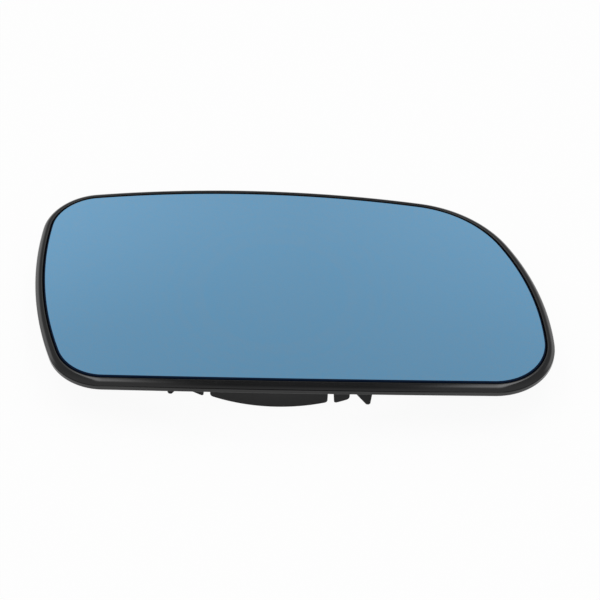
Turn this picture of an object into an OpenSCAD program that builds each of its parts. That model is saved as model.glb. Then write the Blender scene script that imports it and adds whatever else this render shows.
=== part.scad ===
// Convex mirror glass of a car's door mirror, bonded to a black moulded carrier.
// The glass looks up along +Z, X runs along its length and +Y points to its top edge.
// The origin is on the adjuster axis, on the seat that the adjuster's plate lands on.

/* [Glass] */
// Thickness of the glass
glass_t = 2; // [1.8:0.1:2.5]
// Radius of the convex face
glass_r = 1400; // [1000:50:2000]
// Height of the middle of the face above the seat
glass_z = 10; // [9:0.5:14]
// Thickness of the foam tape under the glass
pad_t = 0.5; // [0.4:0.1:1]
// How far the tape stays in from the glass edge
pad_inset = 1.2; // [0.5:0.1:4]

/* [Outline of the glass] */
// Bottom left corner: centre x, centre y, radius
bottom_left = [-58.7, -21.4, 19.3]; // [-90:0.1:90]
// Bottom right corner: centre x, centre y, radius
bottom_right = [76.7, -20.3, 20.2]; // [-90:0.1:90]
// Shoulder at the top right: centre x, centre y, radius
top_right = [47.2, 8.2, 41.1]; // [-90:0.1:90]
// Top left corner: centre x, centre y, radius
top_left = [-67.9, 35.4, 17.3]; // [-90:0.1:90]
// Radius of the long arc along the bottom
bottom_r = 1290; // [800:10:3000]
// Radius of the slanting right flank
right_r = 106; // [90:1:200]
// Radius of the long arc along the top
top_r = 576; // [400:1:1000]
// Radius of the left end
left_r = 144; // [100:1:300]

/* [Rim] */
// Gap between the glass edge and the lip
lip_gap = 0.5; // [0.2:0.05:0.5]
// How far the lip lies below the face of the glass
lip_drop = 0.2; // [0:0.05:0.6]
// Radius of the lip's rounded shoulder
shoulder_r = 3; // [2:0.1:3]
// Angle that the shoulder turns down through
shoulder_turn = 60; // [45:5:60]
// Distance from the glass edge to the outside of the rim
rim_w = 3.25; // [3.25:0.05:4]
// Depth of the rim below the face of the glass
rim_d = 4.1; // [4.1:0.1:6]
// Depth of the shadow groove under the shoulder
groove = 0.25; // [0.1:0.05:0.3]
// Chamfer round the foot of the rim
foot_chamfer = 0.35; // [0.2:0.05:0.6]

/* [Back plate] */
// Thickness of the plate
plate_t = 1.4; // [1.2:0.1:2]
// Thickness of the stiffening ribs
rib_t = 1.4; // [1:0.1:2]
// Height of the ribs below the plate
rib_h = 2; // [1:0.1:3]
// How far the rib that follows the rim stays in from the glass edge
rib_inset = 6.5; // [5:0.5:10]

/* [Clip frame] */
// Turn of the clip frame against the outline
clip_turn = -3.2; // [-10:0.1:10]
// Width of the frame along X
clip_w = 74; // [70:0.5:78]
// Height of the frame along Y, between its flat sides
clip_h = 65; // [60:0.5:68]
// Distance from the axis to the crown of the bowed skirts
bow_y = 36.1; // [35:0.1:37]
// Radius of the bowed skirts
bow_r = 63; // [60:1:90]
// Thickness of the frame's walls
wall_t = 2; // [1.5:0.1:2.5]
// Depth of the skirts and hooks behind the seat
clip_d = 12; // [9:0.5:16]
// Half width of a bowed skirt
skirt_half = 21.5; // [15:0.1:22]
// Width of a guide tab beside a bowed skirt
tab_w = 7; // [4:0.1:7.5]
// Slot between a bowed skirt and its guide tab
tab_gap = 1.2; // [1:0.1:3]
// How far a guide tab stands out from the skirt's curve
tab_out = 1.2; // [0:0.1:1.5]
// Depth of the guide walls on the left and right sides
guide_d = 9; // [6:0.5:12]

/* [Snap hooks] */
// Width of a hook along Y
hook_w = 7; // [5:0.5:10]
// Reach of the barb in from the hook's stem
barb = 3.6; // [2:0.1:4]
// Length of the sloping lead-in
lead_in = 5; // [3:0.1:7]

/* [Adjuster socket] */
// Radius of the socket's bore
socket_r = 3; // [2:0.1:4]
// Depth of the socket
socket_d = 5; // [3:0.1:5.5]
// Outer radius of the boss around it
boss_r = 6.5; // [5:0.1:9]

/* [Hidden] */
// Largest gap between the drawn outline and its true arcs
tol = 0.03;
// Radius that all the domed layers reach past the outline
reach = 130;
// Height of the blocks that the outline is cut from
cut_h = 40;
// Top of everything that stands on the back of the plate, inside its thickness
root_z = glass_z - glass_t - pad_t - 0.7 * plate_t;
// The layers below the face of the glass
pad_top = -glass_t;
plate_top = -glass_t - pad_t;
plate_bottom = plate_top - plate_t;
rib_bottom = plate_bottom - rib_h;
// How far the plate's edge is buried in the rim
plate_edge = 0.8;
// How far the rim's foot reaches in under the glass
foot_in = 0.6;
// Depth of the lip's rounded edge beside the glass
lip_edge = 0.25;
// Where the shoulder starts, out from the glass edge, and where it ends, above the glass face
shoulder_x = rim_w - 0.05 - shoulder_r * sin(shoulder_turn);
shoulder_end = -lip_drop - shoulder_r * (1 - cos(shoulder_turn));
// Top and bottom of the shadow groove
groove_top = shoulder_end - 0.12;
groove_foot = shoulder_end - 0.45;
// Radius of the clip frame's corners
clip_r = 5;
// How far the side edges of the skirts and of the guide tabs lean in over their length
skirt_lean = 0.4;
tab_lean = 0.8;

CORNERS = [bottom_left, bottom_right, top_right, top_left];
SIDES = [bottom_r, right_r, top_r, left_r];

// Centre of the long arc that touches corner circles a and b from outside
function side_centre(a, b, r) =
    let (run = [b.x - a.x, b.y - a.y], gap = norm(run), u = run / gap)
    let (ra = r - a.z, rb = r - b.z)
    let (s = (ra * ra - rb * rb + gap * gap) / (2 * gap), h = sqrt(ra * ra - s * s))
    [a.x + u.x * s - u.y * h, a.y + u.y * s + u.x * h];

CENTRES = [for (i = [0:3]) side_centre(CORNERS[i], CORNERS[(i + 1) % 4], SIDES[i])];

// Direction in which corner i meets the long arc k
function meet(i, k) = atan2(CORNERS[i].y - CENTRES[k].y, CORNERS[i].x - CENTRES[k].x);
function turn(from, to) = to > from ? to - from : to - from + 360;

// Points of one arc, each with its outward normal; the end point belongs to the next arc
function arc(cx, cy, r, from, sweep) =
    let (n = ceil(sweep / (2 * acos(1 - tol / r))))
    [for (k = [0:n - 1]) let (a = from + sweep * k / n)
        [cx + r * cos(a), cy + r * sin(a), cos(a), sin(a)]];

// The glass edge, counter clockwise
EDGE = [for (i = [0:3])
    let (c = CORNERS[i], m = CENTRES[i], next = (i + 1) % 4)
    let (a = meet(i, (i + 3) % 4), b = meet(i, i), e = meet(next, i))
    each concat(arc(c.x, c.y, c.z, a, turn(a, b)), arc(m.x, m.y, SIDES[i], b, turn(b, e)))];

function outline(out) = [for (p = EDGE) [p[0] + out * p[2], p[1] + out * p[3]]];
function face_z(x, y) = glass_z - glass_r + sqrt(glass_r * glass_r - x * x - y * y);

// Section of the rim: distance out from the glass edge, height above the glass face.
// It runs from the inner foot round the outside and over the shoulder to the gap at the glass.
RIM = concat(
    [[-foot_in, plate_bottom + 1], [-foot_in, -rim_d]],
    [[rim_w - foot_chamfer, -rim_d], [rim_w, -rim_d + foot_chamfer]],
    [[rim_w, groove_foot], [rim_w - groove, groove_foot + 0.1], [rim_w - groove, groove_top]],
    [for (k = [6:-1:0])
        let (a = shoulder_turn * k / 6)
        [shoulder_x + shoulder_r * sin(a), -lip_drop - shoulder_r * (1 - cos(a))]],
    [[lip_gap + 0.06, -lip_drop - 0.07], [lip_gap, -lip_drop - lip_edge]],
    [[lip_gap, plate_bottom + 1]]);

// A section swept round the closed glass edge, at the height of the domed face there
module swept_rim(section) {
    n = len(EDGE);
    m = len(section);
    points = [for (p = EDGE) for (s = section)
        [p[0] + s.x * p[2], p[1] + s.x * p[3], face_z(p[0], p[1]) + s.y]];
    faces = [for (i = [0:n - 1]) for (j = [0:m - 1])
        let (a = i * m + j, b = i * m + (j + 1) % m)
        let (c = (i + 1) % n * m + (j + 1) % m, d = (i + 1) % n * m + j)
        each [[a, b, c], [a, c, d]]];
    polyhedron(points, faces);
}

// A domed layer between two depths below the glass face
module dome(top, bottom) {
    translate([0, 0, glass_z - glass_r])
        rotate_extrude($fn = 120)
            intersection() {
                difference() {
                    circle(glass_r + top, $fn = 720);
                    circle(glass_r + bottom, $fn = 720);
                }
                translate([0, glass_r - cut_h])
                    square([reach, 2 * cut_h]);
            }
}

// The part of a domed layer that lies under a flat shape
module domed(top, bottom) {
    intersection() {
        dome(top, bottom);
        translate([0, 0, -cut_h / 2])
            linear_extrude(cut_h)
                children();
    }
}

module band(outer, inner) {
    difference() {
        polygon(outline(outer));
        polygon(outline(inner));
    }
}

// Footprint of the clip frame, drawn in by inset: a rounded oblong with two bowed sides
module clip_plan(inset) {
    r = clip_r - inset;
    w = clip_w / 2 - inset - r;
    h = clip_h / 2 - inset - r;
    square([2 * w + 2 * r, 2 * h], center = true);
    square([2 * w, 2 * h + 2 * r], center = true);
    for (x = [-w, w], y = [-h, h])
        translate([x, y])
            circle(r, $fn = 48);
    for (s = [0, 1])
        mirror([0, s])
            intersection() {
                translate([0, bow_r - bow_y])
                    circle(bow_r - inset, $fn = 240);
                translate([-w, -bow_y])
                    square([2 * w, bow_y]);
            }
}

// The bowed wall on the bottom side, wide enough for the skirt and both guide tabs
module bow_plan() {
    intersection() {
        translate([0, bow_r - bow_y])
            difference() {
                circle(bow_r, $fn = 240);
                circle(bow_r - wall_t, $fn = 240);
            }
        translate([-clip_w / 2, -bow_y])
            square([clip_w, bow_y]);
    }
}

// A wall seen from the front: its two edges lean in by lean from the root to the tip, which has
// round corners of radius r
module blade(x0, x1, lean, r) {
    left = x0 + lean + r;
    right = x1 - lean - r;
    translate([0, clip_h, 0])
        rotate([90, 0, 0])
            linear_extrude(2 * clip_h)
                polygon(concat(
                    [[x1, root_z]],
                    [for (a = [0:-30:-90]) [right + r * cos(a), -clip_d + r + r * sin(a)]],
                    [for (a = [-90:-30:-180]) [left + r * cos(a), -clip_d + r + r * sin(a)]],
                    [[x0, root_z]]));
}

// The bowed wall, moved out from the skirt's curve
module bowed_wall(out) {
    translate([0, -out, -clip_d])
        linear_extrude(clip_d + root_z)
            bow_plan();
}

module bowed_skirt() {
    tab_x = skirt_half + tab_gap;
    intersection() {
        bowed_wall(0);
        blade(-skirt_half, skirt_half, skirt_lean, 0.9);
    }
    for (s = [0, 1])
        mirror([s, 0, 0])
            intersection() {
                bowed_wall(tab_out);
                blade(tab_x, tab_x + tab_w, tab_lean, 1);
            }
}

// A snap hook at the bottom right corner, its barb facing in. From the rounded tip a long
// slope leads in to the barb, which has a short undercut above it.
module snap_hook() {
    outer = clip_w / 2;
    stem = outer - wall_t;
    point = stem - barb;
    barb_z = -clip_d + lead_in;
    tip_x = outer - 1.5;
    round = 0.2;
    undercut = 0.9;
    translate([0, -clip_h / 2 + hook_w, 0])
        rotate([90, 0, 0])
            linear_extrude(hook_w)
                polygon([
                    [outer, root_z], [outer, barb_z], [outer - 0.5, -clip_d + 0.7],
                    [tip_x + 0.7, -clip_d + round], [tip_x + 0.3, -clip_d],
                    [tip_x - 0.3, -clip_d], [tip_x - 0.6, -clip_d + round],
                    [point + round, barb_z - round], [point, barb_z + round],
                    [point + 0.3, barb_z + 3 * round], [stem, barb_z + undercut],
                    [stem, root_z]]);
}

// A straight guide wall on the right side, between the two hooks, with chamfered tips
module side_guide() {
    half = 12;
    tip_in = 1.8;
    side_in = 0.8;
    translate([clip_w / 2 - wall_t, 0, 0])
        rotate([90, 0, 90])
            linear_extrude(wall_t)
                polygon([
                    [half, root_z], [half - side_in, -guide_d + 1], [half - tip_in, -guide_d],
                    [tip_in - half, -guide_d], [side_in - half, -guide_d + 1], [-half, root_z]]);
}

// The boss with the socket for the adjuster's centre pin
module boss() {
    cylinder(r = boss_r, h = root_z, $fn = 96);
}

// Ribs across the inside of the frame, whose flat edges are the adjuster's seat
module seat_ribs() {
    linear_extrude(root_z)
        intersection() {
            clip_plan(wall_t / 2);
            for (a = [0, 90])
                rotate(a)
                    square([2 * clip_w, rib_t], center = true);
        }
}

module clip_frame() {
    linear_extrude(root_z)
        difference() {
            clip_plan(0);
            clip_plan(wall_t);
        }
    seat_ribs();
    boss();
    for (s = [0, 1])
        mirror([0, s, 0])
            bowed_skirt();
    for (s = [0, 1], t = [0, 1])
        mirror([s, 0, 0])
            mirror([0, t, 0])
                snap_hook();
    for (s = [0, 1])
        mirror([s, 0, 0])
            side_guide();
}

// Windows through the plate over the barbs, where the mould's cores pass
module core_windows() {
    core_w = barb + 0.3;
    for (s = [0, 1], t = [0, 1])
        mirror([s, 0, 0])
            mirror([0, t, 0])
                translate([clip_w / 2 - wall_t - core_w, -clip_h / 2 + wall_t, 0])
                    cube([core_w, hook_w - wall_t, cut_h]);
}

// Straight ribs across the plate at the given places, square to the clip frame; along is 0 for
// ribs that run along its width and 90 for ribs that run along its height
module straight_ribs(places, along) {
    intersection() {
        polygon(outline(-rib_inset - rib_t / 2));
        rotate(clip_turn)
            difference() {
                rotate(along)
                    for (p = places)
                        translate([0, along == 90 ? -p : p])
                            square([3 * clip_w, rib_t], center = true);
                clip_plan(wall_t / 2);
            }
    }
}

// Ribs on the back of the plate: one that follows the rim, and a grid that ends at it
module rib_plan() {
    band(-rib_inset, -rib_inset - rib_t);
    straight_ribs([-clip_h / 4, clip_h / 4, clip_h / 2 - rib_t], 0);
    straight_ribs([-56, -18, 18, 56, 76], 90);
}

module carrier() {
    color([0.13, 0.14, 0.15])
        difference() {
            union() {
                swept_rim(RIM);
                domed(plate_top, plate_bottom)
                    polygon(outline(plate_edge));
                domed(plate_top - plate_t / 2, rib_bottom)
                    rib_plan();
                rotate(clip_turn)
                    clip_frame();
            }
            translate([0, 0, -1])
                cylinder(r = socket_r, h = socket_d + 1, $fn = 96);
            rotate(clip_turn)
                core_windows();
        }
}

module adhesive_pad() {
    color([0.2, 0.2, 0.21])
        domed(pad_top, plate_top)
            polygon(outline(-pad_inset));
}

module mirror_glass() {
    color([0.42, 0.6, 0.74])
        domed(0, -glass_t)
            polygon(outline(0));
}

carrier();
adhesive_pad();
mirror_glass();
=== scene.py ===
"""A car's door mirror glass on its black moulded carrier, lying face up on its clip frame.
It follows the part as it is put together: the carrier, the foam tape, the glass, then the studio."""

import math

import bmesh
import bpy
from mathutils import Matrix, Vector


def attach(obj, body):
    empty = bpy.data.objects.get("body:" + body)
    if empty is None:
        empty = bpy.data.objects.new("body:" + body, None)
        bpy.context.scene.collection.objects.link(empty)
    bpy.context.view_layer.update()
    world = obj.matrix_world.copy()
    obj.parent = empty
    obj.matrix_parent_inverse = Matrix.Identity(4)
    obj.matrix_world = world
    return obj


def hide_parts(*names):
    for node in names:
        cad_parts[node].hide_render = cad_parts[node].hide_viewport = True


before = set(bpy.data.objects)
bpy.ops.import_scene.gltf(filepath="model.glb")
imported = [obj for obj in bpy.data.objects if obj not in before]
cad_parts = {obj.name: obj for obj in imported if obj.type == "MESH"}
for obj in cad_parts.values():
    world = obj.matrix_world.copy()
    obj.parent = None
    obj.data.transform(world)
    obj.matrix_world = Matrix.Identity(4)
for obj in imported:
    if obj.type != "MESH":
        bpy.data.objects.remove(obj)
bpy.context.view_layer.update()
MM = 0.001

# Camera: it looks down at 45 degrees from in front of the bottom edge, from about 0.8 m away,
# through a long lens, as a product photographer would set it up.
VIEW_ELEVATION = math.radians(45)
VIEW_YAW = math.radians(1.04)
VIEW_DISTANCE = 800 * MM
VIEW_TARGET = Vector((8.86, -1.85, 8.0)) * MM
LENS_MM = 132.5
SENSOR_MM = 36

away = Vector((
    math.sin(VIEW_YAW) * math.cos(VIEW_ELEVATION),
    -math.cos(VIEW_YAW) * math.cos(VIEW_ELEVATION),
    math.sin(VIEW_ELEVATION),
))
camera = bpy.data.objects.new("camera", bpy.data.cameras.new("camera"))
camera.data.lens = LENS_MM
camera.data.sensor_width = SENSOR_MM
camera.data.clip_start = 0.05
camera.location = VIEW_TARGET + VIEW_DISTANCE * away
camera.rotation_euler = away.to_track_quat("Z", "Y").to_euler()
bpy.context.scene.collection.objects.link(camera)
bpy.context.scene.camera = camera

# Carrier: one injection moulding in black plastic. Its rounded rim holds the glass, ribs stiffen
# the back of the plate, and the clip frame with four snap hooks goes onto the mirror's adjuster.

# The glass edge is drawn with four corner circles, as centre x, centre y and radius, and four
# long arcs that touch them, in the order bottom, right, top and left
CORNERS = [(-58.7, -21.4, 19.3), (76.7, -20.3, 20.2), (47.2, 8.2, 41.1), (-67.9, 35.4, 17.3)]
SIDES = [1290, 106, 576, 144]
FINE_MM = 0.004  # largest gap between the drawn edge and its true arcs

GLASS_R = 1400  # radius of the convex face
GLASS_Z = 10  # height of its crown above the seat
GLASS_T = 2
TAPE_T = 0.5
PLATE_T = 1.4
RIB_T, RIB_H, RIB_INSET = 1.4, 2, 6.5
LIP_GAP, LIP_DROP, LIP_EDGE = 0.5, 0.2, 0.25  # clear of the glass, below its face, inner radius
SHOULDER_R, SHOULDER_TURN = 3, 60  # the lip's arc, and its turn from its top to its outer end
SHOULDER_IN = 0.05  # how far that end lies in from the outer wall
RIM_W, RIM_D, RIM_ROOT = 3.25, 4.1, 0.6  # out from the glass, below its face, in under it
FOOT_R, INNER_FOOT_R = 0.6, 0.25
GROOVE = 0.25  # depth of the groove round the outside
# The groove's section, as distances in from the outer wall and down from the end of the shoulder
GROOVE_SHAPE = [(0, 0.5), (0.05, 0.45), (GROOVE, 0.35), (GROOVE, 0.12), (0.1, 0.05)]
TIP_R = 0.3  # roundness of the tips of ribs and walls
SUNK, RIB_SUNK, ROOT_SHARE = 1, 0.7, 0.7  # where rim, ribs and clip frame start inside the plate
PLATE_TOP = -GLASS_T - TAPE_T
PLATE_BOTTOM = PLATE_TOP - PLATE_T
RIB_BOTTOM = PLATE_BOTTOM - RIB_H
ROOT_Z = GLASS_Z - GLASS_T - TAPE_T - ROOT_SHARE * PLATE_T
WELD, SLIVER = 0.0005, 0.001  # points closer than this are one, and edges shorter than this go


def side_centre(a, b, radius):
    """Centre of the long arc that touches corner circles a and b from outside"""
    run = (b[0] - a[0], b[1] - a[1])
    gap = math.hypot(*run)
    ux, uy = run[0] / gap, run[1] / gap
    ra, rb = radius - a[2], radius - b[2]
    s = (ra * ra - rb * rb + gap * gap) / (2 * gap)
    h = math.sqrt(ra * ra - s * s)
    return a[0] + ux * s - uy * h, a[1] + uy * s + ux * h


def arc(cx, cy, radius, start, end):
    """Points of an arc, counter clockwise, each with its outward normal; the end point is left out"""
    sweep = (end - start) % (2 * math.pi)
    steps = max(2, math.ceil(sweep / (2 * math.acos(1 - FINE_MM / radius))))
    points = []
    for k in range(steps):
        a = start + sweep * k / steps
        points.append((cx + radius * math.cos(a), cy + radius * math.sin(a), math.cos(a), math.sin(a)))
    return points


def glass_edge():
    """The edge of the glass, counter clockwise, as x, y and the outward normal"""
    centres = [side_centre(CORNERS[i], CORNERS[(i + 1) % 4], SIDES[i]) for i in range(4)]

    def meet(corner, side):
        return math.atan2(CORNERS[corner][1] - centres[side][1], CORNERS[corner][0] - centres[side][0])

    points = []
    for i in range(4):
        into, out, end = meet(i, (i + 3) % 4), meet(i, i), meet((i + 1) % 4, i)
        points += arc(*CORNERS[i], into, out)
        points += arc(*centres[i], SIDES[i], out, end)
    return points


def face_z(x, y):
    """Height of the convex face above the seat"""
    return GLASS_Z - GLASS_R + math.sqrt(GLASS_R * GLASS_R - x * x - y * y)


EDGE = glass_edge()


def solid(name, points, faces):
    """A closed mesh from points in millimetres, its faces all turned outwards"""
    mesh = bpy.data.meshes.new(name)
    mesh.from_pydata([Vector(p) * MM for p in points], [], faces)
    work = bmesh.new()
    work.from_mesh(mesh)
    bmesh.ops.remove_doubles(work, verts=work.verts, dist=WELD * MM)
    bmesh.ops.recalc_face_normals(work, faces=work.faces)
    work.to_mesh(mesh)
    work.free()
    piece = bpy.data.objects.new(name, mesh)
    bpy.context.scene.collection.objects.link(piece)
    return piece


def swept(name, path, section, level):
    """A closed section of out and up distances, swept round a closed path at the height that
    level gives for each of its points"""
    n, m = len(path), len(section)
    points = [
        (x + out * nx, y + out * ny, level(x, y) + up)
        for x, y, nx, ny in path for out, up in section
    ]
    faces = [
        (i * m + j, i * m + (j + 1) % m, (i + 1) % n * m + (j + 1) % m, (i + 1) % n * m + j)
        for i in range(n) for j in range(m)
    ]
    return solid(name, points, faces)


def rounded(cx, cy, radius, start, end, steps):
    """Points on a rounded corner of a section, from one angle to another in degrees"""
    return [
        (cx + radius * math.cos(math.radians(start + (end - start) * k / steps)),
         cy + radius * math.sin(math.radians(start + (end - start) * k / steps)))
        for k in range(steps + 1)
    ]


def domed_slab(name, path, top, bottom, rings):
    """A domed layer under a flat outline, between two depths below the face of the glass"""
    n = len(path)
    cx = sum(p[0] for p in path) / n
    cy = sum(p[1] for p in path) / n
    points, faces = [], []
    for depth in (top, bottom):
        start = len(points)
        points.append((cx, cy, face_z(cx, cy) + depth))
        for ring in range(1, rings + 1):
            share = ring / rings
            for x, y in path:
                px, py = cx + share * (x - cx), cy + share * (y - cy)
                points.append((px, py, face_z(px, py) + depth))
        faces += [(start, start + 1 + k, start + 1 + (k + 1) % n) for k in range(n)]
        for ring in range(rings - 1):
            inner, outer = start + 1 + ring * n, start + 1 + (ring + 1) * n
            faces += [
                (inner + k, outer + k, outer + (k + 1) % n, inner + (k + 1) % n) for k in range(n)
            ]
    upper, lower = 1 + (rings - 1) * n, 2 + (2 * rings - 1) * n
    faces += [(upper + k, lower + k, lower + (k + 1) % n, upper + (k + 1) % n) for k in range(n)]
    return solid(name, points, faces)


def offset_edge(out):
    """The edge of the glass moved outwards, as x and y"""
    return [(x + out * nx, y + out * ny) for x, y, nx, ny in EDGE]


def softened(piece, width, segments=3, steepest=40):
    """Rounds the sharp edges of a piece, as a mould's small radii do"""
    work = bmesh.new()
    work.from_mesh(piece.data)
    sharp = [
        e for e in work.edges
        if len(e.link_faces) == 2 and e.calc_face_angle(0) > math.radians(steepest)
    ]
    bmesh.ops.bevel(work, geom=sharp, offset=width * MM, segments=segments, profile=0.5,
                    affect="EDGES", clamp_overlap=True)
    bmesh.ops.recalc_face_normals(work, faces=work.faces)
    work.to_mesh(piece.data)
    work.free()
    return piece


def prism(name, outline, place, depth):
    """A flat outline pushed along its depth; place turns (a, b, d) into x, y and z"""
    n = len(outline)
    points = [place(a, b, d) for d in (0, depth) for a, b in outline]
    faces = [tuple(range(n)), tuple(range(2 * n - 1, n - 1, -1))]
    faces += [(k, (k + 1) % n, n + (k + 1) % n, n + k) for k in range(n)]
    return solid(name, points, faces)


# Rim: the section runs from the root of its inner wall round its foot, up the outside, over the
# lip's arc and down into the gap at the glass
shoulder_x = RIM_W - SHOULDER_IN - SHOULDER_R * math.sin(math.radians(SHOULDER_TURN))
shoulder_end = -LIP_DROP - SHOULDER_R * (1 - math.cos(math.radians(SHOULDER_TURN)))
edge_x = LIP_GAP + LIP_EDGE
edge_turn = math.acos((edge_x - shoulder_x) / (SHOULDER_R - LIP_EDGE))
edge_z = -LIP_DROP - SHOULDER_R + (SHOULDER_R - LIP_EDGE) * math.sin(edge_turn)
rim_section = (
    [(-RIM_ROOT, PLATE_BOTTOM + SUNK), (-RIM_ROOT, -RIM_D + INNER_FOOT_R)]
    + rounded(-RIM_ROOT + INNER_FOOT_R, -RIM_D + INNER_FOOT_R, INNER_FOOT_R, 180, 270, 3)[1:]
    + rounded(RIM_W - FOOT_R, -RIM_D + FOOT_R, FOOT_R, 270, 360, 5)
    + [(RIM_W - inward, shoulder_end - down) for inward, down in GROOVE_SHAPE]
    + rounded(shoulder_x, -LIP_DROP - SHOULDER_R, SHOULDER_R, 90 - SHOULDER_TURN,
              math.degrees(edge_turn), 16)
    + rounded(edge_x, edge_z, LIP_EDGE, math.degrees(edge_turn), 180, 5)[1:]
    + [(LIP_GAP, PLATE_BOTTOM + SUNK)]
)
parts = [swept("rim", EDGE, rim_section, face_z)]
PLATE_OUT, RINGS = 0.8, 12
parts.append(domed_slab("plate", offset_edge(PLATE_OUT), PLATE_TOP, PLATE_BOTTOM, RINGS))


def bar_section(outer, inner, root, low):
    """The section of a rib or wall with a rounded tip, between two sides, from root down to low"""
    return (
        [(outer, root), (inner, root)]
        + rounded(inner + TIP_R, low + TIP_R, TIP_R, 180, 270, 3)
        + rounded(outer - TIP_R, low + TIP_R, TIP_R, 270, 360, 3)
    )


# Rib that follows the rim
ring_section = bar_section(-RIB_INSET, -RIB_INSET - RIB_T, PLATE_BOTTOM + RIB_SUNK, RIB_BOTTOM)
parts.append(swept("ring_rib", EDGE, ring_section, face_z))

# Straight ribs, square to the clip frame, which is turned a little against the outline
CLIP_TURN = math.radians(-3.2)
CLIP_W, CLIP_H, CLIP_CORNER = 74, 65, 5
BOW_Y, BOW_R = 36.1, 63  # reach and radius of its two bowed sides
WALL_T = 2
CLIP_D = 12  # from the seat down to the tips of skirts, tabs and hooks
RIBS_ALONG = (-CLIP_H / 4, CLIP_H / 4, CLIP_H / 2 - RIB_T)
RIBS_ACROSS = (-56, -18, 18, 56, 76)
RIB_SEARCH, RIB_STEP = 240, 0.5  # steps tried each way to find a rib's ends, and their length
RIB_STOPS = 40  # lengths that a rib is drawn in


def turned(x, y):
    """From the clip frame's own axes to the part's"""
    return (
        x * math.cos(CLIP_TURN) - y * math.sin(CLIP_TURN),
        x * math.sin(CLIP_TURN) + y * math.cos(CLIP_TURN),
    )


def inside_edge(x, y, inset):
    """True where a point lies within the glass edge drawn in by inset"""
    ring = offset_edge(-inset)
    inside = False
    for k in range(len(ring)):
        (x1, y1), (x2, y2) = ring[k - 1], ring[k]
        if (y1 > y) != (y2 > y) and x < (x2 - x1) * (y - y1) / (y2 - y1) + x1:
            inside = not inside
    return inside


def straight_rib(name, at, along_x):
    """A rib on the back of the plate that runs across the whole outline, following its dome"""
    def spot(s, side):
        return turned(s, at + side) if along_x else turned(at + side, s)

    steps = [k * RIB_STEP for k in range(-RIB_SEARCH, RIB_SEARCH + 1)]
    run = [s for s in steps if inside_edge(*spot(s, 0), RIB_INSET + RIB_T / 2)]
    section = bar_section(RIB_T / 2, -RIB_T / 2, PLATE_BOTTOM + RIB_SUNK, RIB_BOTTOM)
    stops = [run[0] + (run[-1] - run[0]) * k / RIB_STOPS for k in range(RIB_STOPS + 1)]
    m = len(section)
    points = []
    for s in stops:
        for side, up in section:
            x, y = spot(s, side)
            points.append((x, y, face_z(x, y) + up))
    faces = [
        (i * m + j, i * m + (j + 1) % m, (i + 1) * m + (j + 1) % m, (i + 1) * m + j)
        for i in range(len(stops) - 1) for j in range(m)
    ]
    faces += [tuple(range(m)), tuple(range(len(points) - m, len(points)))]
    return solid(name, points, faces)


ribs = [straight_rib(f"rib_{k}", y, True) for k, y in enumerate(RIBS_ALONG)]
ribs += [straight_rib(f"spoke_{k}", x, False) for k, x in enumerate(RIBS_ACROSS)]

# Clip frame: a wall with two bowed sides, and the skirts, tabs, hooks and guides that hang from it
BOW_STEPS, CORNER_STEPS = 12, 8
BOW_CENTRE = BOW_R - BOW_Y


def clip_path(inset):
    """The clip frame's footprint with its two bowed sides, counter clockwise, with normals"""
    w, h = CLIP_W / 2 - CLIP_CORNER, CLIP_H / 2 - CLIP_CORNER
    bow = math.asin(math.sqrt(BOW_R ** 2 - (BOW_CENTRE + CLIP_H / 2) ** 2) / BOW_R)
    spots = []
    for k in range(BOW_STEPS + 1):
        a = -bow + 2 * bow * k / BOW_STEPS
        spots.append((BOW_R * math.sin(a), BOW_CENTRE - BOW_R * math.cos(a), math.sin(a), -math.cos(a)))
    for level, first in ((-h, -90), (h, 0)):
        for k in range(CORNER_STEPS + 1):
            a = math.radians(first + 90 * k / CORNER_STEPS)
            nx, ny = math.cos(a), math.sin(a)
            spots.append((w + CLIP_CORNER * nx, level + CLIP_CORNER * ny, nx, ny))
    path = spots + [(-x, -y, -nx, -ny) for x, y, nx, ny in spots]
    return [(x - inset * nx, y - inset * ny, nx, ny) for x, y, nx, ny in path]


wall_section = bar_section(0, -WALL_T, ROOT_Z, 0)
clip = [swept("clip_wall", clip_path(0), wall_section, lambda x, y: 0)]

COLUMN_W = 1.5  # width of a facet along the bow
MOULD_R, FINE_MOULD_R = 0.2, 0.15  # small radii that the mould leaves on edges
LEVEL_TOL, END_TOL = 0.01, 0.05  # how near a point has to be to count as at the tip or at an end


def bowed(name, x0, x1, lean, corner, out):
    """A wall on the bowed side, moved out from its curve: its two edges lean in and its tip has
    round corners"""
    columns = max(4, round((x1 - x0) / COLUMN_W))
    points = []
    for radius in (BOW_R, BOW_R - WALL_T):
        for share, z in ((0, ROOT_Z), (1, -CLIP_D)):
            for k in range(columns + 1):
                left, right = x0 + lean * share, x1 - lean * share
                x = left + (right - left) * k / columns
                points.append((x, BOW_CENTRE - math.sqrt(radius ** 2 - x * x) - out, z))
    n = columns + 1
    faces = []
    for k in range(columns):
        faces += [(k, k + 1, n + k + 1, n + k), (2 * n + k, 3 * n + k, 3 * n + k + 1, 2 * n + k + 1)]
        faces += [(k, 2 * n + k, 2 * n + k + 1, k + 1), (n + k, n + k + 1, 3 * n + k + 1, 3 * n + k)]
    for k in (0, columns):
        faces.append((k, n + k, 3 * n + k, 2 * n + k))
    piece = solid(name, points, faces)
    work = bmesh.new()
    work.from_mesh(piece.data)
    low = min(v.co.z for v in work.verts) + LEVEL_TOL * MM
    tips = [v.co.x for v in work.verts if v.co.z < low]
    ends = [min(tips), max(tips)]
    corners = [
        e for e in work.edges
        if all(v.co.z < low for v in e.verts)
        and any(all(abs(v.co.x - end) < END_TOL * MM for v in e.verts) for end in ends)
    ]
    bmesh.ops.bevel(work, geom=corners, offset=corner * MM, segments=5, profile=0.5, affect="EDGES")
    work.to_mesh(piece.data)
    work.free()
    return softened(piece, MOULD_R)


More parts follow.
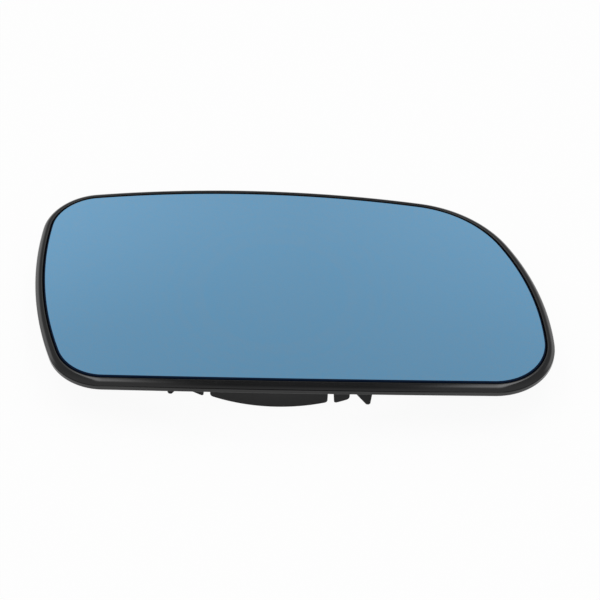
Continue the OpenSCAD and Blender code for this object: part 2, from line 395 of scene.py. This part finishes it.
HOOK_W, BARB, LEAD_IN = 7, 3.6, 5  # its width, reach of its barb, height of its sloping lead-in
TOE = [(0.5, 0.7), (0.8, 0.2), (1.2, 0), (1.8, 0), (2.1, 0.2)]  # in from its back, up from its end
NOSE = [(0.2, -0.2), (0, 0.2), (0.3, 0.6)]  # out from the barb's point, up from the lead-in
NOSE_TOP = 0.9


def hook(name):
    """A snap hook at the bottom right corner, its barb facing in"""
    outer = CLIP_W / 2
    stem = outer - WALL_T
    outline = [(outer, ROOT_Z), (outer, -CLIP_D + LEAD_IN)]
    outline += [(outer - inward, -CLIP_D + rise) for inward, rise in TOE]
    outline += [(stem - BARB + out, -CLIP_D + LEAD_IN + rise) for out, rise in NOSE]
    outline += [(stem, -CLIP_D + LEAD_IN + NOSE_TOP), (stem, ROOT_Z)]
    piece = prism(name, outline, lambda a, b, d: (a, -CLIP_H / 2 + d, b), HOOK_W)
    return softened(piece, FINE_MOULD_R, steepest=60)


GUIDE_D, GUIDE_HALF = 9, 12
GUIDE_CORNER = [(0.8, 1), (1.8, 0)]  # in from its end, up from its edge


def side_guide(name):
    """A straight guide wall on the right side, between two hooks"""
    end = [(GUIDE_HALF, ROOT_Z)]
    end += [(GUIDE_HALF - inward, -GUIDE_D + rise) for inward, rise in GUIDE_CORNER]
    outline = end + [(-a, b) for a, b in reversed(end)]
    piece = prism(name, outline, lambda a, b, d: (CLIP_W / 2 - WALL_T + d, a, b), WALL_T)
    return softened(piece, MOULD_R, steepest=60)


def mirrored(piece, name, flip_x, flip_y):
    """A copy on the other side of the clip frame"""
    other = piece.copy()
    other.data = piece.data.copy()
    other.name = name
    other.data.transform(Matrix.Diagonal((-1 if flip_x else 1, -1 if flip_y else 1, 1, 1)))
    if flip_x != flip_y:
        other.data.flip_normals()
    bpy.context.scene.collection.objects.link(other)
    return other


SKIRT_HALF, SKIRT_LEAN, SKIRT_CORNER = 21.5, 0.4, 0.9
TAB_W, TAB_GAP, TAB_OUT, TAB_LEAN, TAB_CORNER = 7, 1.2, 1.2, 0.8, 1.0
tab_x = SKIRT_HALF + TAB_GAP
skirt = bowed("skirt", -SKIRT_HALF, SKIRT_HALF, SKIRT_LEAN, SKIRT_CORNER, 0)
tab = bowed("tab", tab_x, tab_x + TAB_W, TAB_LEAN, TAB_CORNER, TAB_OUT)
corner_hook = hook("hook")
guide = side_guide("guide")
clip += [skirt, mirrored(skirt, "skirt_far", False, True), tab, corner_hook, guide]
clip.append(mirrored(guide, "guide_left", True, False))
for piece in (tab, corner_hook):
    for flip_x, flip_y in ((True, False), (False, True), (True, True)):
        clip.append(mirrored(piece, f"{piece.name}_{int(flip_x)}{int(flip_y)}", flip_x, flip_y))

# Boss with its blind socket, and the cross of ribs whose edges are the seat
SOCKET_R, SOCKET_D, BOSS_R, CHAMFER = 3, 5, 6.5, 0.3
ROUND_STEPS = 72
boss_section = (
    [(0, SOCKET_D), (SOCKET_R, SOCKET_D), (SOCKET_R, CHAMFER), (SOCKET_R + CHAMFER, 0)]
    + [(BOSS_R - CHAMFER, 0), (BOSS_R, CHAMFER), (BOSS_R, ROOT_Z), (0, ROOT_Z)]
)


def turned_solid(name, section, steps):
    """A section of radius and height turned about the adjuster axis"""
    m = len(section)
    points = [
        (r * math.cos(2 * math.pi * k / steps), r * math.sin(2 * math.pi * k / steps), z)
        for k in range(steps) for r, z in section
    ]
    faces = []
    for k in range(steps):
        for j in range(m - 1):
            quad = (k * m + j, k * m + j + 1, (k + 1) % steps * m + j + 1, (k + 1) % steps * m + j)
            if section[j][0] == 0:
                quad = quad[:3]
            elif section[j + 1][0] == 0:
                quad = (quad[0], quad[1], quad[3])
            faces.append(quad)
    return solid(name, points, faces)


boss = turned_solid("boss", boss_section, ROUND_STEPS)
SEAT_END = 1  # the cross ends this far inside the clip frame's outside
seat = []
for name, half_x, half_y in (
    ("seat_x", CLIP_W / 2 - SEAT_END, RIB_T / 2), ("seat_y", RIB_T / 2, BOW_Y - SEAT_END)
):
    outline = [(-half_x, -half_y), (half_x, -half_y), (half_x, half_y), (-half_x, half_y)]
    seat.append(softened(prism(name, outline, lambda a, b, d: (a, b, d), ROOT_Z), FINE_MOULD_R))

turn = Matrix.Rotation(CLIP_TURN, 4, "Z")
for piece in clip + seat:
    piece.data.transform(turn)


def combine(target, others, operation):
    """Joins the other solids to the target, or cuts them from it, and removes them"""
    for other in others:
        step = target.modifiers.new("step", "BOOLEAN")
        step.operation = operation
        step.solver = "MANIFOLD"
        step.object = other
    bpy.context.view_layer.update()
    graph = bpy.context.evaluated_depsgraph_get()
    mesh = bpy.data.meshes.new_from_object(target.evaluated_get(graph))
    target.modifiers.clear()
    target.data = mesh
    for other in others:
        bpy.data.objects.remove(other)
    return target


# The ribs stop at the clip frame's wall, and the seat's cross stops at the socket
PAST, CORE_PAST = 2, 3  # how far a cutter reaches past what it cuts
core_outline = [(x, y) for x, y, nx, ny in clip_path(WALL_T / 2)]
clip_core = prism("clip_core", core_outline, lambda a, b, d: (*turned(a, b), d),
                  PLATE_TOP + GLASS_Z + CORE_PAST)
rib_set = combine(ribs[0], ribs[1:], "UNION")
combine(rib_set, [clip_core], "DIFFERENCE")
socket_section = [(0, -PAST), (SOCKET_R, -PAST), (SOCKET_R, SOCKET_D), (0, SOCKET_D)]
socket = turned_solid("socket", socket_section, ROUND_STEPS)
cross = combine(seat[0], seat[1:], "UNION")
combine(cross, [socket], "DIFFERENCE")

# Windows through the plate over the barbs, and the faint round marks of the ejector pins
WINDOW_PLAY, WINDOW_CUT = 0.3, 20  # room past the barb's point, and the height of the cutter
windows = []
for k, (sx, sy) in enumerate(((1, 1), (-1, 1), (1, -1), (-1, -1))):
    x0, y0 = CLIP_W / 2 - WALL_T - BARB - WINDOW_PLAY, -CLIP_H / 2 + WALL_T
    x1, y1 = x0 + BARB + WINDOW_PLAY, y0 + HOOK_W - WALL_T
    outline = [(sx * a, sy * b) for a, b in ((x0, y0), (x1, y0), (x1, y1), (x0, y1))]
    windows.append(prism(f"window_{k}", outline, lambda a, b, d: (*turned(a, b), d), WINDOW_CUT))
PIN_R, PIN_DEPTH, PIN_CUT, PIN_STEPS = 2.0, 0.12, 0.6, 32
PIN_PLACES = (
    (-66, 24), (-66, 0), (-66, -24), (-46, 24), (-46, 0), (-46, -24), (-9, 24), (-9, -10),
    (9, 10), (9, -24), (46, 22), (46, 0), (46, -24), (66, 6), (66, -24))
pins = []
for k, (px, py) in enumerate(PIN_PLACES):
    x, y = turned(px, py)
    top = face_z(x, y) + PLATE_BOTTOM + PIN_DEPTH
    angles = [2 * math.pi * step / PIN_STEPS for step in range(PIN_STEPS)]
    outline = [(PIN_R * math.cos(a), PIN_R * math.sin(a)) for a in angles]
    pins.append(prism(f"pin_{k}", outline, lambda a, b, d: (x + a, y + b, top - d),
                      PIN_DEPTH + PIN_CUT))

carrier = parts[0]
combine(carrier, parts[1:] + [rib_set, boss, cross] + clip, "UNION")
combine(carrier, windows + pins, "DIFFERENCE")
carrier.name = "carrier_moulding"
work = bmesh.new()
work.from_mesh(carrier.data)
bmesh.ops.dissolve_degenerate(work, dist=SLIVER * MM, edges=work.edges)
work.to_mesh(carrier.data)
work.free()


def finished(piece, angle):
    """Smooth shading up to an angle, weighted so that flat faces stay flat"""
    for face in piece.data.polygons:
        face.use_smooth = True
    piece.data.set_sharp_from_angle(angle=math.radians(angle))
    weigh = piece.modifiers.new("weigh", "WEIGHTED_NORMAL")
    weigh.keep_sharp = True
    graph = bpy.context.evaluated_depsgraph_get()
    mesh = bpy.data.meshes.new_from_object(piece.evaluated_get(graph))
    piece.modifiers.clear()
    piece.data = mesh
    return piece


SHARP_FROM = 40  # edges that turn further than this stay sharp, in degrees
finished(carrier, SHARP_FROM)


class Socket:
    """An output in a material's nodes, so that sums of it read as plain Python"""

    FACTOR, COLOUR_A, COLOUR_B, COLOUR_OUT = 0, 6, 7, 2  # a Mix node's sockets for colours

    def __init__(self, tree, out=None):
        self.tree = tree
        self.out = out

    def node(self, kind, settings=None, links=None, output=0):
        """Adds a node: its settings first, then the values or links of its inputs"""
        made = self.tree.nodes.new("ShaderNode" + kind)
        for name, value in (settings or {}).items():
            setattr(made, name, value)
        for name, value in (links or {}).items():
            if isinstance(value, Socket):
                self.tree.links.new(value.out, made.inputs[name])
            else:
                made.inputs[name].default_value = value
        return Socket(self.tree, made.outputs[output])

    def maths(self, operation, a, b):
        """A Math node on two values"""
        return self.node("Math", {"operation": operation}, {0: a, 1: b})

    def mix(self, a, b):
        """Colour a where this mask is 0, and b where it is 1"""
        inputs = {self.FACTOR: self, self.COLOUR_A: (*a, 1), self.COLOUR_B: (*b, 1)}
        return self.node("Mix", {"data_type": "RGBA"}, inputs, output=self.COLOUR_OUT)

    def between(self, low, high, start=0.0, end=1.0, kind="SMOOTHSTEP"):
        """A soft step from start, where this value is at low, to end, where it is at high"""
        return self.node("MapRange", {"interpolation_type": kind}, {
            "Value": self, "From Min": low, "From Max": high, "To Min": start, "To Max": end})

    def __add__(self, other):
        return self.maths("ADD", self, other)

    def __mul__(self, other):
        return self.maths("MULTIPLY", self, other)

    def __sub__(self, other):
        return self.maths("SUBTRACT", self, other)

    def __rsub__(self, other):
        return self.maths("SUBTRACT", other, self)

    __radd__ = __add__
    __rmul__ = __mul__


def material(name):
    """A new material, a way into its nodes, and its main shader"""
    made = bpy.data.materials.new(name)
    made.use_nodes = True
    tree = made.node_tree
    return made, Socket(tree), tree.nodes["Principled BSDF"]


def feed(shader, **values):
    """Sets constants on a shader's own sockets and links what varies"""
    for name, value in values.items():
        socket = shader.inputs[name.replace("_", " ")]
        if isinstance(value, Socket):
            value.tree.links.new(value.out, socket)
        else:
            socket.default_value = value


# Black plastic from a polished mould: a very fine grain, with a faint change of gloss across it
plastic, tree, shader = material("moulded_black")
place = tree.node("TexCoord", output="Object")
grain = tree.node("TexNoise", links={"Vector": place, "Scale": 5200.0, "Detail": 3.0, "Roughness": 0.6})
cloud = tree.node("TexNoise", links={"Vector": place, "Scale": 55.0, "Detail": 3.0, "Roughness": 0.55})
bump = tree.node("Bump", links={"Height": grain, "Strength": 0.05, "Distance": 0.00002})
feed(shader,
     Base_Color=cloud.mix((0.0060, 0.0062, 0.0066), (0.0092, 0.0094, 0.0098)),
     Roughness=0.075 + 0.05 * cloud + 0.02 * grain,
     Normal=bump,
     IOR=1.5)

# The bed under the tape and the wall round the glass are the same plastic, left matt so that the
# glue holds, and the gap round the glass stays dark
bed, tree, shader = material("matt_bed")
place = tree.node("TexCoord", output="Object")
texture = tree.node("TexNoise", links={"Vector": place, "Scale": 4000.0, "Detail": 2.0})
feed(shader,
     Base_Color=texture.mix((0.0060, 0.0062, 0.0066), (0.0092, 0.0094, 0.0098)),
     Roughness=0.75 + 0.15 * texture,
     Specular_IOR_Level=0.25)
carrier.data.materials.clear()
carrier.data.materials.append(plastic)
carrier.data.materials.append(bed)
BED_LEAN = 10  # in mm, a face's normal times its place: above it, the face looks outwards
BED_DEPTH = PLATE_TOP - 0.06  # a little below the bed
for face in carrier.data.polygons:
    x, y, z = (c / MM for c in face.center)
    looks_in = face.normal.x * x + face.normal.y * y < BED_LEAN
    if looks_in and BED_DEPTH < z - face_z(x, y) < -LIP_DROP - LIP_EDGE:
        face.material_index = 1
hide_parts("carrier")
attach(carrier, "root")

# Foam tape: one sheet of dark closed-cell foam with glue on both sides, cut a little smaller
# than the glass. It takes up the small differences between the glass's curve and the plate's.
TAPE_INSET = 1.2
tape = domed_slab("foam_tape", offset_edge(-TAPE_INSET), -GLASS_T, -GLASS_T - TAPE_T, RINGS)
finished(tape, SHARP_FROM)
foam, tree, shader = material("foam_tape")
place = tree.node("TexCoord", output="Object")
cells = tree.node("TexVoronoi", links={"Vector": place, "Scale": 3500.0})
bump = tree.node("Bump", links={"Height": cells, "Strength": 0.5, "Distance": 0.00008})
feed(shader,
     Base_Color=cells.mix((0.022, 0.022, 0.023), (0.045, 0.045, 0.047)),
     Roughness=0.7 + 0.2 * cells,
     Normal=bump)
tape.data.materials.append(foam)
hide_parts("adhesive_pad")
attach(tape, "root")

# Glass: 2 mm of blue-tinted convex glass, silvered and painted black on its back and stuck to the
# tape. Its edge is ground to a bevel. The bevel is coloured dark navy with almost no shine, as painted
# shade for the shaded gap and the lip's dark reflection, so that a dark line shows inside the lip.
ARRIS = 0.5  # width of the ground bevel
BACK_SHARE = 0.5  # width of the small bevel on its back, as a share of the front one
BEVEL = [(0.35, 0.2), (0, 0.45), (0, GLASS_T - 0.25), (BACK_SHARE, GLASS_T)]  # share of ARRIS, depth
FACE_RINGS, BACK_RINGS = 36, 12
FACE_BAND = 0.03  # faces this near the convex face are part of it
GLASS_SHARP_FROM = 12  # so that the bevel stays crisp
n = len(EDGE)
mid_x = sum(p[0] for p in EDGE) / n
mid_y = sum(p[1] for p in EDGE) / n


def glass_ring(share, inset, depth):
    """The edge drawn in by inset, shrunk to a share of its size, at a depth below the face"""
    ring = []
    for x, y in offset_edge(-inset):
        px, py = mid_x + share * (x - mid_x), mid_y + share * (y - mid_y)
        ring.append((px, py, face_z(px, py) - depth))
    return ring


points = [(mid_x, mid_y, face_z(mid_x, mid_y))]
for k in range(1, FACE_RINGS + 1):
    points += glass_ring(k / FACE_RINGS, ARRIS, 0)
for share, depth in BEVEL:
    points += glass_ring(1, share * ARRIS, depth)
for k in range(BACK_RINGS - 1, 0, -1):
    points += glass_ring(k / BACK_RINGS, BACK_SHARE * ARRIS, GLASS_T)
last = len(points) - n
points.append((mid_x, mid_y, face_z(mid_x, mid_y) - GLASS_T))
faces = [(0, 1 + k, 1 + (k + 1) % n) for k in range(n)]
for inner in range(1, last, n):
    outer = inner + n
    faces += [(inner + k, outer + k, outer + (k + 1) % n, inner + (k + 1) % n) for k in range(n)]
faces += [(last + (k + 1) % n, last + k, last + n) for k in range(n)]
glass = solid("mirror_glass_plate", points, faces)
finished(glass, GLASS_SHARP_FROM)

mirror, tree, shader = material("blue_mirror")
place = tree.node("TexCoord", output="Object")
drift = tree.node("TexNoise", links={"Vector": place, "Scale": 14.0, "Detail": 2.0})
haze = tree.node("TexNoise", links={"Vector": place, "Scale": 900.0, "Detail": 4.0, "Roughness": 0.65})
feed(shader,
     Base_Color=drift.mix((0.064, 0.276, 0.490), (0.072, 0.284, 0.498)),
     Metallic=1.0,
     Roughness=0.018 + 0.02 * haze,
     Coat_Weight=1.0,
     Coat_Roughness=0.01)
# Bevel and back: the back is black on the real glass. The bevel's dark navy with almost no shine is
# painted shade for the gap and the lip's dark reflection.
ground_edge_painted_shade, tree, shader = material("ground_glass_edge")
place = tree.node("TexCoord", output="Object")
frost = tree.node("TexNoise", links={"Vector": place, "Scale": 6000.0, "Detail": 2.0})
bump = tree.node("Bump", links={"Height": frost, "Strength": 0.3, "Distance": 0.00002})
feed(shader,
     Base_Color=frost.mix((0.003, 0.009, 0.027), (0.006, 0.015, 0.040)),
     Roughness=0.50 + 0.15 * frost,
     Specular_IOR_Level=0.04,
     Normal=bump)
glass.data.materials.append(mirror)
glass.data.materials.append(ground_edge_painted_shade)
for face in glass.data.polygons:
    x, y, z = (c / MM for c in face.center)
    face.material_index = 0 if z - face_z(x, y) > -FACE_BAND else 1
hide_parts("mirror_glass")
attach(glass, "root")

# Studio: white paper under the part, and an even room with a pale back wall, a darker strip of
# ceiling and two long soft lamps overhead, whose reflections run along the lip at its two bottom
# corners. Two area lights give the lamps' light, and the room holds their soft-edged reflections.
FLOOR_Z = (-CLIP_D - 0.02) * MM  # a hair below the tips of the clip frame
FLOOR_HALF = 3.0
FLOOR_SHADOW = 0.06  # share of the lit paper that shows under the plain white
GLOW, GLOW_FROM, GLOW_TO = 0.20, 0.042, 0.054  # light from below the part, and where it fades
GLOW_STRETCH = (0.7, 1, 1)  # it reaches further along the part, to the hooks
SHADE_FROM, SHADE_TO = 0.058, 0.095  # where the part's shadow fades in the paper's reflection
floor = bpy.data.objects.new("floor", bpy.data.meshes.new("floor"))
floor.data.from_pydata(
    [(-FLOOR_HALF, -FLOOR_HALF, FLOOR_Z), (FLOOR_HALF, -FLOOR_HALF, FLOOR_Z),
     (FLOOR_HALF, FLOOR_HALF, FLOOR_Z), (-FLOOR_HALF, FLOOR_HALF, FLOOR_Z)], [], [(0, 1, 2, 3)])
bpy.context.scene.collection.objects.link(floor)
paper, tree, shader = material("white_paper")
place = tree.node("TexCoord", output="Object")
fibre = tree.node("TexNoise", links={"Vector": place, "Scale": 400.0, "Detail": 3.0})
feed(shader, Base_Color=fibre.mix((0.80, 0.80, 0.80), (0.84, 0.84, 0.84)), Roughness=0.9,
     Specular_IOR_Level=0.1)
from_axis = tree.node("VectorMath", {"operation": "LENGTH"}, {0: place}, output="Value")
stretched = tree.node("VectorMath", {"operation": "MULTIPLY"}, {0: place, 1: GLOW_STRETCH})
along_part = tree.node("VectorMath", {"operation": "LENGTH"}, {0: stretched}, output="Value")
in_view = tree.node("LightPath", output="Is Camera Ray")
in_glass = tree.node("LightPath", output="Is Transmission Ray")
in_gloss = tree.node("LightPath", output="Is Glossy Ray")
plain = in_view + in_glass + in_gloss * (1 - from_axis.between(SHADE_FROM, SHADE_TO, 1.0, 0.0))
white = tree.node("Emission", links={"Color": (1, 1, 1, 1), "Strength": 1.0})
glow_level = along_part.between(GLOW_FROM, GLOW_TO, GLOW, 0.0)
glow = tree.node("Emission", links={"Color": (1, 1, 1, 1), "Strength": glow_level})
lit = tree.node("AddShader", links={0: Socket(tree.tree, shader.outputs[0]), 1: glow})
both = tree.node("MixShader", links={0: plain * (1 - FLOOR_SHADOW), 1: lit, 2: white})
from_below = tree.node("NewGeometry", output="Backfacing")
clear = tree.node("BsdfTransparent")
one_sided = tree.node("MixShader", links={0: from_below, 1: both, 2: clear})
feed(paper.node_tree.nodes["Material Output"], Surface=one_sided)
floor.data.materials.append(paper)

# The room, by direction: how far to the side, back and up a unit vector points. A pair gives where
# a soft edge starts and where it ends.
DIFFUSE_LEVEL = 0.65
ROOM_FADE, ROOM_FRONT, ROOM_FAR = (-0.60, 0.20), 0.60, 0.40
CEILING, CEILING_SIDE, CEILING_BACK = 0.12, (0.165, 0.115), (-1.10, -0.50)
HORIZON, HORIZON_UP, HORIZON_BACK, HORIZON_SIDE = 1.45, (0.50, 0.30), (0.05, 0.35), (0.45, 0.70)
WALL, WALL_TOP, WALL_FALL = 0.98, (0.60, 0.86), 0.20
WALL_EDGE, WALL_FOOT = (0.58, 0.635), (0.50, 0.60)
WALL_LEFT, WALL_RIGHT = (-0.255, -0.23), (0.235, 0.205)
SIDE_GLOW_UP, SIDE_GLOW = (0.72, 0.60), (0.10, 0.65)  # the wall's ends get paler, most so low down
SIDE_GLOW_ENDS, SIDE_GLOW_SKEW = 0.82, 0.9
LAMP_LEFT, LEFT_OUTER, LEFT_INNER = 3.2, (-0.34, -0.275), (-0.14, -0.225)
LAMP_RIGHT, RIGHT_INNER, RIGHT_OUTER = 3.6, (0.13, 0.22), (0.37, 0.285)
LAMP_FRONT, LAMP_BACK, LAMP_UP = (-0.52, 0.02), (0.63, 0.42), (0.30, 0.50)

world = bpy.data.worlds.new("room")
bpy.context.scene.world = world
world.use_nodes = True
tree = Socket(world.node_tree)
direction = tree.node("TexCoord", output="Generated")
side, back, up = (tree.node("SeparateXYZ", links={0: direction}, output=axis) for axis in "XYZ")
aside = side.maths("ABSOLUTE", side, 0.0)
strip = aside.between(*CEILING_SIDE) * back.between(*CEILING_BACK)
horizon = up.between(*HORIZON_UP) * back.between(*HORIZON_BACK) * aside.between(*HORIZON_SIDE)
room = back.between(*ROOM_FADE, ROOM_FRONT, ROOM_FAR)
room = room + (CEILING - room) * strip
room = room + (HORIZON - room) * horizon
low_down = up.between(*SIDE_GLOW_UP, *SIDE_GLOW, "LINEAR")
wall = WALL - up.between(*WALL_TOP, 0.0, WALL_FALL)
wall = wall + aside * low_down * (SIDE_GLOW_ENDS - SIDE_GLOW_SKEW * side)
backdrop = back.between(*WALL_EDGE) * up.between(*WALL_FOOT)
backdrop = backdrop * side.between(*WALL_LEFT) * side.between(*WALL_RIGHT)
lamps = LAMP_LEFT * side.between(*LEFT_OUTER) * side.between(*LEFT_INNER)
lamps = lamps + LAMP_RIGHT * side.between(*RIGHT_INNER) * side.between(*RIGHT_OUTER)
lamps = lamps * back.between(*LAMP_FRONT) * back.between(*LAMP_BACK) * up.between(*LAMP_UP)
mirrored_room = room + backdrop * (wall - room) + lamps
in_view = tree.node("LightPath", output="Is Camera Ray")
in_gloss = tree.node("LightPath", output="Is Glossy Ray")
lit_room = in_gloss * mirrored_room + (1 - in_gloss) * DIFFUSE_LEVEL
feed(world.node_tree.nodes["Background"], Color=(1, 1, 1, 1),
     Strength=in_view + (1 - in_view) * lit_room)

# The two lamps run from the back to the front and shine straight down
LAMP_HEIGHT, LAMP_LENGTH, LAMP_Y = 800, 600, 15
for name, x, width, watts in (("lamp_left", -220, 150, 1.3), ("lamp_right", 197, 125, 1.2)):
    lamp = bpy.data.objects.new(name, bpy.data.lights.new(name, "AREA"))
    lamp.data.shape = "RECTANGLE"
    lamp.data.size = width * MM
    lamp.data.size_y = LAMP_LENGTH * MM
    lamp.data.energy = watts
    lamp.location = Vector((x, LAMP_Y, LAMP_HEIGHT)) * MM
    lamp.visible_glossy = False
    bpy.context.scene.collection.objects.link(lamp)

bpy.context.scene.view_settings.view_transform = "Standard"
